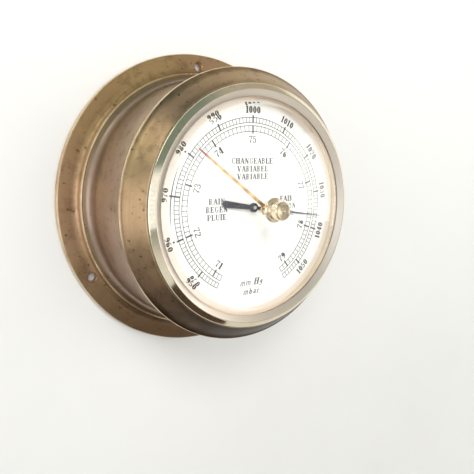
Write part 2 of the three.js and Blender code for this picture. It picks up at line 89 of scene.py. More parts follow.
# ------------------------------------------------------------------ node helpers
class Nodes:
    """A small builder for one material's node tree."""

    def __init__(self, name):
        self.m = bpy.data.materials.new(name)
        self.m.use_nodes = True
        self.t = self.m.node_tree
        self.t.nodes.clear()
        self.out = self.t.nodes.new("ShaderNodeOutputMaterial")
        self.p = self.t.nodes.new("ShaderNodeBsdfPrincipled")
        self.t.links.new(self.p.outputs[0], self.out.inputs[0])
        self.coord = self.t.nodes.new("ShaderNodeTexCoord").outputs["Object"]

    def node(self, kind, **props):
        n = self.t.nodes.new(kind)
        for k, v in props.items():
            setattr(n, k, v)
        return n

    def link(self, a, b):
        self.t.links.new(a, b)

    def put(self, socket, v):
        if isinstance(v, bpy.types.NodeSocket):
            self.link(v, socket)
        else:
            socket.default_value = v

    def math(self, op, a, b=0.0, c=0.0, clamp=False):
        n = self.node("ShaderNodeMath", operation=op, use_clamp=clamp)
        for i, v in enumerate((a, b, c)):
            self.put(n.inputs[i], v)
        return n.outputs[0]

    def cyl(self):
        """Radius, depth and angle about the instrument's axis."""
        if not hasattr(self, "_cyl"):
            s = self.node("ShaderNodeSeparateXYZ")
            self.link(self.coord, s.inputs[0])
            x, y, z = s.outputs
            r = self.math("SQRT", self.math("ADD", self.math("MULTIPLY", x, x), self.math("MULTIPLY", z, z)))
            a = self.math("ARCTAN2", x, z)
            self._cyl = (r, y, a, x, z)
        return self._cyl

    def vec(self, x, y, z):
        n = self.node("ShaderNodeCombineXYZ")
        for i, v in enumerate((x, y, z)):
            self.put(n.inputs[i], v)
        return n.outputs[0]

    def noise(self, scale, detail=4.0, rough=0.55, vector=None, distortion=0.0):
        n = self.node("ShaderNodeTexNoise")
        self.link(vector or self.coord, n.inputs["Vector"])
        n.inputs["Scale"].default_value = scale
        n.inputs["Detail"].default_value = detail
        n.inputs["Roughness"].default_value = rough
        n.inputs["Distortion"].default_value = distortion
        return n.outputs[0]

    def ramp(self, fac, *stops, interp="LINEAR"):
        n = self.node("ShaderNodeValToRGB")
        n.color_ramp.interpolation = interp
        e = n.color_ramp.elements
        while len(e) < len(stops):
            e.new(0.5)
        for el, (pos, col) in zip(e, stops):
            el.position = pos
            el.color = (*col, 1.0) if hasattr(col, "__len__") else (col, col, col, 1.0)
        self.put(n.inputs[0], fac)
        return n.outputs[0]

    def mix(self, fac, a, b, blend="MIX"):
        n = self.node("ShaderNodeMix", data_type="RGBA", blend_type=blend)
        self.put(n.inputs[0], fac)
        for s, v in ((n.inputs[6], a), (n.inputs[7], b)):
            if isinstance(v, bpy.types.NodeSocket):
                self.link(v, s)
            else:
                s.default_value = (*v, 1.0)
        return n.outputs[2]

    def range(self, v, a, b, c=0.0, d=1.0):
        n = self.node("ShaderNodeMapRange", clamp=True)
        for i, q in enumerate((v, a, b, c, d)):
            self.put(n.inputs[i], q)
        return n.outputs[0]

    def near(self, v, centre, width):
        """1 at centre, falling to 0 at width away."""
        return self.range(self.math("ABSOLUTE", self.math("SUBTRACT", v, centre)), 0.0, width, 1.0, 0.0)

    def bump(self, height, strength=0.3, distance=0.0001, normal=None):
        n = self.node("ShaderNodeBump")
        n.inputs["Strength"].default_value = strength
        n.inputs["Distance"].default_value = distance
        self.link(height, n.inputs["Height"])
        if normal is not None:
            self.link(normal, n.inputs["Normal"])
        return n.outputs[0]

    def turning(self, fine=9000.0, along=2.0):
        """Fine tool and polishing lines that run round the axis."""
        r, y, a, _x, _z = self.cyl()
        v = self.vec(self.math("MULTIPLY", r, fine), self.math("MULTIPLY", y, fine), self.math("MULTIPLY", a, along))
        return self.noise(1.0, 2.0, 0.5, vector=v)

    def finish(self, base, rough, metal=1.0, normal=None, coat=0.0, coat_rough=0.1, spec=None):
        self.put(self.p.inputs["Base Color"], base if isinstance(base, bpy.types.NodeSocket) else (*base, 1.0))
        self.put(self.p.inputs["Roughness"], rough)
        self.p.inputs["Metallic"].default_value = metal
        self.p.inputs["Coat Weight"].default_value = coat
        self.p.inputs["Coat Roughness"].default_value = coat_rough
        if spec is not None:
            self.p.inputs["Specular IOR Level"].default_value = spec
        if normal is not None:
            self.link(normal, self.p.inputs["Normal"])
        return self.m


# ------------------------------------------------------------------ materials
def aged_brass(name, golden, brown, dark, pink, rough_lo=0.30, rough_hi=0.5, edges=(), shade=(), painted_shade_below=None):
    """Brass that has dulled to brown: cloudy patina, spots, turning lines, and bright metal on the edge crests, partly
    real wear and partly painted highlight.
    edges and shade hold (axis value, centre mm, width mm, strength); the shade bands are painted shade in the cove and
    recesses. The last argument is (height it starts, height it is full, strength) of painted shade towards the bottom."""
    n = Nodes(name)
    r, y, _a, _x, _z = n.cyl()
    cloud = n.noise(26.0, 5.0, 0.62, distortion=0.6)
    fine = n.noise(170.0, 5.0, 0.6)
    grain = n.noise(900.0, 3.0, 0.6)
    col = n.mix(n.range(cloud, 0.36, 0.66), brown, golden)
    col = n.mix(n.range(n.noise(11.0, 3.0, 0.5, distortion=1.0), 0.42, 0.66), col, pink)
    col = n.mix(n.math("MULTIPLY", n.range(fine, 0.52, 0.74), 0.55), col, dark)
    lines = n.turning(7000.0, 1.4)
    col = n.mix(n.math("MULTIPLY", n.range(lines, 0.55, 0.78), 0.25), col, dark)
    # Painted shade: darkening where the cove and recess lie in shade.
    for which, centre, width, strength in shade:
        m = n.math("MULTIPLY", n.near(r if which == "r" else y, centre * MM, width * MM), strength)
        col = n.mix(m, col, dark)
    # Painted shade: the brass darkens towards the bottom of the case.
    if painted_shade_below:
        z = n.math("ADD", _z, n.math("MULTIPLY", n.math("SUBTRACT", cloud, 0.5), 0.03))
        col = n.mix(n.range(z, painted_shade_below[0] * MM, painted_shade_below[1] * MM, 0.0, painted_shade_below[2]), col, (dark[0] * 0.45, dark[1] * 0.42, dark[2] * 0.42))
    spots = n.range(n.noise(420.0, 2.0, 0.5), 0.66, 0.73)
    col = n.mix(n.math("MULTIPLY", spots, 0.7), col, (dark[0] * 0.55, dark[1] * 0.5, dark[2] * 0.5))
    rough = n.math("ADD", n.range(cloud, 0.3, 0.7, rough_lo, rough_hi), n.math("MULTIPLY", grain, 0.12))
    # Bright edge crests: partly real wear, partly painted highlight where light catches the beads and lips.
    for which, centre, width, strength in edges:
        m = n.near(r if which == "r" else y, centre * MM, width * MM)
        m = n.math("MULTIPLY", m, n.range(n.noise(60.0, 4.0, 0.6), 0.25, 0.6))
        m = n.math("MULTIPLY", m, strength, clamp=True)
        col = n.mix(m, col, (0.80, 0.66, 0.44))
        rough = n.math("SUBTRACT", rough, n.math("MULTIPLY", m, 0.15))
    nor = n.bump(lines, 0.10, 0.00004)
    nor = n.bump(n.noise(60.0, 3.0, 0.5), 0.10, 0.0004, nor)
    nor = n.bump(grain, 0.12, 0.00006, nor)
    return n.finish(col, rough, 1.0, nor)


# Case flange: painted shade towards the bottom and in the fillet by the step; its bright bead and outer rim are partly
# painted highlight.
flange_mat = aged_brass(
    "aged_brass_case", (0.60, 0.42, 0.21), (0.43, 0.275, 0.135), (0.20, 0.122, 0.066), (0.52, 0.335, 0.21),
    0.28, 0.44, painted_shade_below=(-22, -66, 0.80),
    edges=[("r", 64.75, 0.7, 1.3), ("r", 74.9, 0.5, 0.9)],
    shade=[("r", 63.4, 1.3, 0.55)],
)
# Drum: painted shade in the cove next to the flange; its bright bead is partly painted highlight.
drum_mat = aged_brass(
    "aged_brass_drum", (0.60, 0.49, 0.34), (0.50, 0.395, 0.30), (0.24, 0.165, 0.12), (0.55, 0.41, 0.36),
    0.26, 0.40,
    edges=[("r", 64.75, 0.7, 1.3)],
    shade=[("r", 63.2, 1.6, 0.6), ("y", -9.0, 5.5, 0.75)],
)
# Front ring: painted shade towards the bottom; its bright rear lip and front edge are partly painted highlight.
cone_mat = aged_brass(
    "aged_brass_ring", (0.46, 0.325, 0.17), (0.30, 0.195, 0.11), (0.10, 0.065, 0.045), (0.33, 0.22, 0.15),
    0.20, 0.36, painted_shade_below=(-8, -52, 0.95),
    edges=[("r", 62.95, 0.35, 1.4), ("r", 55.2, 0.35, 0.8)],
)


def polished_brass(name, tint=(0.88, 0.79, 0.60), deep=(0.76, 0.62, 0.38), rough=0.10, satin=None):
    n = Nodes(name)
    cloud = n.noise(34.0, 4.0, 0.6)
    lines = n.turning(11000.0, 0.8)
    col = n.mix(n.range(cloud, 0.38, 0.7), tint, deep)
    col = n.mix(n.math("MULTIPLY", n.range(n.noise(300.0, 4.0, 0.6), 0.6, 0.75), 0.35), col, (0.42, 0.30, 0.16))
    ro = n.math("ADD", n.range(cloud, 0.3, 0.7, rough, rough + 0.08), n.math("MULTIPLY", lines, 0.05))
    if satin:
        inside = n.range(n.cyl()[0], satin[0] * MM, satin[1] * MM, 1.0, 0.0)
        col = n.mix(inside, col, (0.92, 0.83, 0.74))
        ro = n.math("ADD", ro, n.math("MULTIPLY", inside, 0.30))
    nor = n.bump(lines, 0.05, 0.00003)
    nor = n.bump(n.noise(90.0, 2.0, 0.5), 0.05, 0.0003, nor)
    return n.finish(col, ro, 1.0, nor)


def set_hand_material():
    """Gilt with brown wear, and a dull red tip over the scale."""
    n = Nodes("gold_hand")
    _r, _y, _a, x, z = n.cyl()
    along = n.math("ADD", n.math("MULTIPLY", x, math.sin(rad(SET_ANGLE))), n.math("MULTIPLY", z, math.cos(rad(SET_ANGLE))))
    col = n.mix(n.range(n.noise(260.0, 4.0, 0.6), 0.4, 0.62), (0.80, 0.56, 0.28), (0.42, 0.24, 0.10))
    col = n.mix(n.range(along, 0.0345, 0.0362), col, (0.42, 0.09, 0.07))
    fine = n.noise(2200.0, 3.0, 0.6)
    return n.finish(col, n.range(fine, 0.3, 0.7, 0.26, 0.42), 0.9, n.bump(fine, 0.1, 0.00003))


bezel_mat = polished_brass("polished_bezel", (0.90, 0.83, 0.68), (0.82, 0.71, 0.50), 0.05, (51.9, 52.3))
inner_mat = polished_brass("polished_inner", (0.90, 0.84, 0.72), (0.80, 0.70, 0.52), 0.16)
gold_mat = polished_brass("gold_knob", (0.90, 0.78, 0.60), (0.80, 0.64, 0.44), 0.13)
hand_gold = set_hand_material()


def plain_brass(name, tint=(0.72, 0.54, 0.27), deep=(0.52, 0.36, 0.17)):
    n = Nodes(name)
    cloud = n.noise(40.0, 4.0, 0.6)
    lines = n.turning(5000.0, 1.5)
    col = n.mix(n.range(cloud, 0.35, 0.7), tint, deep)
    col = n.mix(n.math("MULTIPLY", n.range(n.noise(500.0, 3.0, 0.6), 0.58, 0.75), 0.4), col, (0.25, 0.17, 0.09))
    ro = n.math("ADD", n.range(cloud, 0.3, 0.7, 0.28, 0.42), n.math("MULTIPLY", lines, 0.1))
    return n.finish(col, ro, 1.0, n.bump(lines, 0.15, 0.00006))


def steel(name, tint=(0.58, 0.59, 0.60), deep=(0.40, 0.40, 0.41), rough=0.25):
    n = Nodes(name)
    cloud = n.noise(120.0, 4.0, 0.6)
    col = n.mix(n.range(cloud, 0.35, 0.7), tint, deep)
    ro = n.range(n.noise(700.0, 3.0, 0.6), 0.3, 0.7, rough, rough + 0.15)
    return n.finish(col, ro, 1.0, n.bump(n.noise(1500.0, 2.0, 0.5), 0.1, 0.00005))


def matte(name, a, b, rough=0.8):
    n = Nodes(name)
    f = n.noise(700.0, 5.0, 0.7)
    return n.finish(n.mix(f, a, b), n.range(f, 0.3, 0.7, rough, min(1.0, rough + 0.12)), 0.0,
                    n.bump(f, 0.3, 0.0001), spec=0.3)


def enamel():
    """White dial enamel: a little mottled, with a cream tint towards the rim that is a painted reflection."""
    n = Nodes("dial_enamel")
    r, _y, _a, _x, _z = n.cyl()
    f = n.noise(24.0, 4.0, 0.6)
    col = n.mix(n.math("MULTIPLY", f, 0.5), (0.955, 0.955, 0.945), (0.93, 0.925, 0.905))
    # Painted reflection: a cream tint on the outer rim of the dial.
    col = n.mix(n.range(r, 0.0458, 0.0472, 0.0, 0.8), col, (0.80, 0.69, 0.59))
    fine = n.noise(1800.0, 3.0, 0.6)
    return n.finish(col, n.range(fine, 0.3, 0.7, 0.42, 0.55), 0.0, n.bump(fine, 0.06, 0.00003), spec=0.35)


def ink(name="dial_ink", a=(0.008, 0.008, 0.009), b=(0.022, 0.022, 0.024)):
    n = Nodes(name)
    f = n.noise(2500.0, 3.0, 0.6)
    return n.finish(n.mix(f, a, b), n.range(f, 0.3, 0.7, 0.45, 0.6), 0.0, n.bump(f, 0.1, 0.00002), spec=0.3)


def blued(name="blued_steel"):
    n = Nodes(name)
    f = n.noise(260.0, 4.0, 0.6)
    col = n.mix(n.range(f, 0.35, 0.7), (0.035, 0.05, 0.085), (0.02, 0.024, 0.035))
    return n.finish(col, n.range(n.noise(900.0, 3.0, 0.6), 0.3, 0.7, 0.22, 0.38), 0.85,
                    n.bump(n.noise(1600.0, 2.0, 0.5), 0.1, 0.00004))


def glass_material():
    """Clear glass whose shadow rays pass, so that the lamps reach the dial."""
    n = Nodes("clear_glass")
    smear = n.noise(30.0, 3.0, 0.5)
    r = n.cyl()[0]
    col = n.mix(smear, (0.99, 0.995, 0.99), (0.98, 0.985, 0.98))
    # Painted reflection: a cream tint in the base colour on the bevel, outside r 45.7 mm.
    n.put(n.p.inputs["Base Color"], n.mix(n.range(r, 0.0457, 0.0461), col, (0.90, 0.825, 0.75)))
    n.p.inputs["Transmission Weight"].default_value = 1.0
    n.p.inputs["IOR"].default_value = 1.5
    n.put(n.p.inputs["Roughness"], n.range(smear, 0.55, 0.75, 0.0, 0.02))
    path = n.node("ShaderNodeLightPath")
    clear = n.node("ShaderNodeBsdfTransparent")
    clear.inputs[0].default_value = (0.96, 0.97, 0.965, 1.0)
    mix = n.node("ShaderNodeMixShader")
    n.link(path.outputs["Is Shadow Ray"], mix.inputs[0])
    n.link(n.p.outputs[0], mix.inputs[1])
    n.link(clear.outputs[0], mix.inputs[2])
    n.link(mix.outputs[0], n.out.inputs[0])
    return n.m


MATS = {
    "aged_brass": flange_mat,
    "polished_brass": inner_mat,
    "plain_brass": plain_brass("machined_brass"),
    "gold_brass": gold_mat,
    "steel": steel("machined_steel"),
    "nickel_silver": steel("nickel_silver", (0.68, 0.68, 0.67), (0.52, 0.52, 0.51), 0.18),
    "blued_steel": blued(),
    "dial_white": enamel(),
    "glass_clear": glass_material(),
    "black_rubber": matte("black_rubber", (0.03, 0.03, 0.028), (0.07, 0.07, 0.065)),
    "fibre": matte("red_fibre", (0.30, 0.09, 0.06), (0.42, 0.15, 0.10)),
}
INK = ink()


# ------------------------------------------------------------------ mesh helpers
def new_object(name, verts, faces, mats, sharp=35.0):
    me = bpy.data.meshes.new(name)
    me.from_pydata(verts, [], faces)
    me.validate(clean_customdata=False)
    bm = bmesh.new()
    bm.from_mesh(me)
    bmesh.ops.recalc_face_normals(bm, faces=bm.faces)
    bm.to_mesh(me)
    bm.free()
    me.shade_smooth()
    me.set_sharp_from_angle(angle=rad(sharp))
    o = bpy.data.objects.new(name, me)
    bpy.context.scene.collection.objects.link(o)
    for m in mats if isinstance(mats, (list, tuple)) else [mats]:
        me.materials.append(m)
    return o


def rounded(points, radii, n=5):
    """Rounds the corners of a closed [r, y] outline. radii is one number or a dict of corner index to radius."""
    out = []
    count = len(points)
    for i, (px, py) in enumerate(points):
        rr = radii if not isinstance(radii, dict) else radii.get(i, 0)
        a = Vector(points[i - 1]) - Vector((px, py))
        b = Vector(points[(i + 1) % count]) - Vector((px, py))
        if rr <= 0 or px == 0:
            out.append((px, py))
            continue
        t = min(rr, a.length * 0.45, b.length * 0.45)
        p0 = Vector((px, py)) + a.normalized() * t
        p1 = Vector((px, py)) + b.normalized() * t
        for k in range(n + 1):
            s = k / n
            q = p0 * (1 - s) ** 2 + Vector((px, py)) * 2 * s * (1 - s) + p1 * s * s
            out.append((q.x, q.y))
    return out


def lathe(name, outline, mat, seg=256, sharp=35.0, centre=(0.0, 0.0), phase=0.0):
    """A closed [r, y] outline in mm turned about the Y axis through centre (x, z)."""
    m = len(outline)
    verts, faces, index = [], [], []
    for i, (r, y) in enumerate(outline):
        if r == 0:
            index.append([len(verts)] * seg)
            verts.append((centre[0] * MM, y * MM, centre[1] * MM))
        else:
            start = len(verts)
            for k in range(seg):
                t = 2 * math.pi * k / seg + phase
                verts.append(((centre[0] + r * math.sin(t)) * MM, y * MM, (centre[1] + r * math.cos(t)) * MM))
            index.append(list(range(start, start + seg)))
    for i in range(m):
        j = (i + 1) % m
        if outline[i][0] == 0 and outline[j][0] == 0:
            continue
        for k in range(seg):
            k2 = (k + 1) % seg
            f = [index[i][k], index[i][k2], index[j][k2], index[j][k]]
            g = []
            for v in f:
                if v not in g:
                    g.append(v)
            if len(g) > 2:
                faces.append(g)
    return new_object(name, verts, faces, mat, sharp)


def cut(o, tools):
    """Takes the tools out of o and deletes them."""
    for t in tools:
        mod = o.modifiers.new("cut", "BOOLEAN")
        mod.operation = "DIFFERENCE"
        mod.solver = "EXACT"
        mod.object = t
    dg = bpy.context.evaluated_depsgraph_get()
    me = bpy.data.meshes.new_from_object(o.evaluated_get(dg))
    o.modifiers.clear()
    old = o.data
    o.data = me
    bpy.data.meshes.remove(old)
    for t in tools:
        bpy.data.objects.remove(t)
    me.set_sharp_from_angle(angle=rad(35))


def polar(r, deg):
    return (r * math.sin(rad(deg)), r * math.cos(rad(deg)))


# ------------------------------------------------------------------ case
FLANGE = [
    (58.9, -1.6), (63.9, -1.6), (63.9, 0.0), (75.0, 0.0), (75.0, -2.35), (74.45, -3.0), (68.4, -3.05),
    (67.2, -3.2), (66.3, -3.75), (65.7, -4.6), (65.3, -5.7), (64.95, -6.2), (64.5, -6.35), (64.1, -6.2),
]
cove = []
for i in range(1, 13):
    t = rad(90 - i * 7.5)
    cove.append((64.2 - 3.8 * math.cos(t), -12 + 5.7 * math.sin(t)))
DRUM = [(60.4, -16), (60.4, -22), (60.4, -30), (60.5, -35), (60.75, -39), (61.1, -42), (61.45, -44.3), (61.2, -44.4), (58.9, -44.4)]
case = lathe("case_shell_fine", rounded(FLANGE, {3: 0.15, 4: 0.5, 5: 0.45, 6: 1.5, 7: 0.6, 8: 0.5}, 4) + cove + DRUM, [flange_mat, drum_mat], 240, 32)
holes = []
for a in (0, -120, 120):
    x, z = polar(69, a)
    holes.append(lathe("tool", [(0, 3), (2.05, 3), (2.05, -2.55), (2.45, -2.95), (2.75, -6), (0, -6)], flange_mat, 40, 35, (x, z)))
for a in (60, 180, 300):
    x, z = polar(61.4, a)
    holes.append(lathe("tool", [(0, 1), (1.15, 1), (1.15, -5.6), (0, -5.6)], flange_mat, 24, 35, (x, z)))
cut(case, holes)
for p in case.data.polygons:
    c = p.center
    p.material_index = 1 if math.hypot(c.x, c.z) < 0.0632 and c.y < -0.0064 else 0
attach(case, "case")
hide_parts("case_shell")

ring_profile = [
    (56.5, -40), (58.8, -40), (58.8, -44.5), (62.0, -44.5), (62.62, -44.85), (62.95, -45.6), (62.85, -46.35), (62.35, -46.85),
    (61.9, -47.05), (60.0, -49.45), (57.6, -52.45), (55.5, -55.0), (55.15, -55.3), (51.2, -55.3), (51.2, -48.5), (46.5, -48.5), (46.5, -47), (56.5, -46),
]
front = lathe("front_ring_fine", rounded(ring_profile, {4: 0.35, 5: 0.4, 6: 0.4, 7: 0.35, 12: 0.2, 15: 0.2}, 4), cone_mat, 256, 32)
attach(front, "case")
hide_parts("front_ring")

bezel_profile = [
    (51.1, -55.4), (54.6, -55.4), (54.85, -55.65), (54.7, -56.0), (52.5, -57.6), (52.3, -57.69), (52.0, -57.62), (49.25, -56.1),
    (49.15, -55.85), (50.2, -54.9), (50.45, -54.9), (50.45, -52.4), (51.1, -52.4),
]
bezel = lathe("bezel_ring_fine", rounded(bezel_profile, {1: 0.12, 2: 0.15, 3: 0.2, 4: 0.12, 5: 0.15, 6: 0.15, 7: 0.15, 8: 0.15}, 4), bezel_mat, 320, 32)
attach(bezel, "case")
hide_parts("bezel_ring")

# ------------------------------------------------------------------ glass
rise = BEVEL_Y - DOME_Y
ball = (BEVEL_R ** 2 + rise ** 2) / (2 * rise)


def dome(r):
    return DOME_Y + ball - math.sqrt(ball ** 2 - r * r)


glass_profile = [(1.8, dome(1.8))]
glass_profile += [(r, dome(r)) for r in np.linspace(4, 45.4, 26)]
glass_profile += [(BEVEL_R, BEVEL_Y + 0.02), (46.2, -58.05), (49.6, -55.15), (49.85, -54.98), (50.3, -54.85), (50.3, -53.05), (50.15, -52.9), (49.85, -52.9), (49.7, -53.1), (49.65, -53.8)]
glass_profile += [(r, dome(r) + GLASS_T) for r in np.linspace(49.55, 4, 28)]
glass_profile += [(1.8, dome(1.8) + GLASS_T)]
glass = lathe("glass_fine", glass_profile, MATS["glass_clear"], 256, 30)
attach(glass, "case")
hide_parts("glass")

spacer = lathe("spacer_ring_fine", rounded([(49.2, -49.65), (51.0, -49.65), (51.0, -52.3), (49.2, -52.3)], 0.2, 3), inner_mat, 256, 35)
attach(spacer, "case")
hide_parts("spacer_ring")
gasket = lathe("glass_gasket_fine", rounded([(49.35, -52.42), (50.2, -52.42), (50.2, -52.78), (49.35, -52.78)], 0.15, 3), MATS["black_rubber"], 192, 35)
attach(gasket, "case")
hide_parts("glass_gasket")

# ------------------------------------------------------------------ dial
dial = lathe("dial_plate_fine", [(1.8, DIAL_Y + 0.1), (1.95, DIAL_Y), (50.7, DIAL_Y), (50.9, DIAL_Y + 0.15), (50.9, -48.6), (1.8, -48.6)], MATS["dial_white"], 256, 30)
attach(dial, "case")
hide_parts("dial_plate")


class Print:
    """Flat printing on the dial: closed slabs a few hundredths of a millimetre thick."""

    def __init__(self):
        self.v, self.f = [], []

    def slab(self, pts, y=DIAL_Y, t=0.03):
        n = len(pts)
        s = len(self.v)
        self.v += [(x * MM, (y - t) * MM, z * MM) for x, z in pts]
        self.v += [(x * MM, (y - 0.002) * MM, z * MM) for x, z in pts]
        self.f.append(list(range(s, s + n)))
        self.f.append(list(range(s + 2 * n - 1, s + n - 1, -1)))
        for i in range(n):
            j = (i + 1) % n
            self.f.append([s + j, s + i, s + n + i, s + n + j])

    def quad_strip(self, left, right):
        for i in range(len(left) - 1):
            self.slab([left[i], left[i + 1], right[i + 1], right[i]])

    def strip(self, left, right, t=0.03, closed=False):
        """One closed band between two lines of points."""
        n = len(left)
        s = len(self.v)
        for y in (DIAL_Y - t, DIAL_Y - 0.002):
            for a, b in zip(left, right):
                self.v.append((a[0] * MM, y * MM, a[1] * MM))
                self.v.append((b[0] * MM, y * MM, b[1] * MM))
        o = 2 * n
        last = n if closed else n - 1
        for i in range(last):
            j = (i + 1) % n
            a, b, c, d = s + 2 * i, s + 2 * i + 1, s + 2 * j + 1, s + 2 * j
            self.f += [[a, b, c, d], [a + o, d + o, c + o, b + o], [a, d, d + o, a + o], [b, b + o, c + o, c]]
        if not closed:
            a, b = s, s + 1
            self.f.append([a, a + o, b + o, b])
            a, b = s + 2 * n - 2, s + 2 * n - 1
            self.f.append([a, b, b + o, a + o])

    def make(self, name, mat):
        o = new_object(name, self.v, self.f, mat, 30)
        for p in o.data.polygons:
            p.use_smooth = False
        return o


scale = Print()
SPAN = 151.2


def arc(r, w):
    a = np.linspace(-SPAN - 0.12, SPAN + 0.12, 241)
    scale.strip([polar(r + w / 2, t) for t in a], [polar(r - w / 2, t) for t in a])


def tick(deg, r0, r1, w):
    c, s = math.cos(rad(deg)), math.sin(rad(deg))
    scale.slab([(r0 * s - w / 2 * c, r0 * c + w / 2 * s), (r0 * s + w / 2 * c, r0 * c - w / 2 * s),
                (r1 * s + w / 2 * c, r1 * c - w / 2 * s), (r1 * s - w / 2 * c, r1 * c + w / 2 * s)])


for r, w in ((40.1, 0.28), (37.8, 0.28), (36.5, 0.28), (34.0, 0.28)):
    arc(r, w)
for mb in range(944, 1057):
    a = (mb - 1000) * 2.7
    if mb % 10 == 0:
        tick(a, 37.7, 41.05, 0.7)
    else:
        tick(a, 37.8, 40.1, 0.26)
for mm in range(708, 793):
    a = (mm - 750) * 3.6
    if mm % 10 == 0:
        tick(a, 33.05, 36.6, 0.68)
    else:
        tick(a, 34.0, 36.5, 0.26)


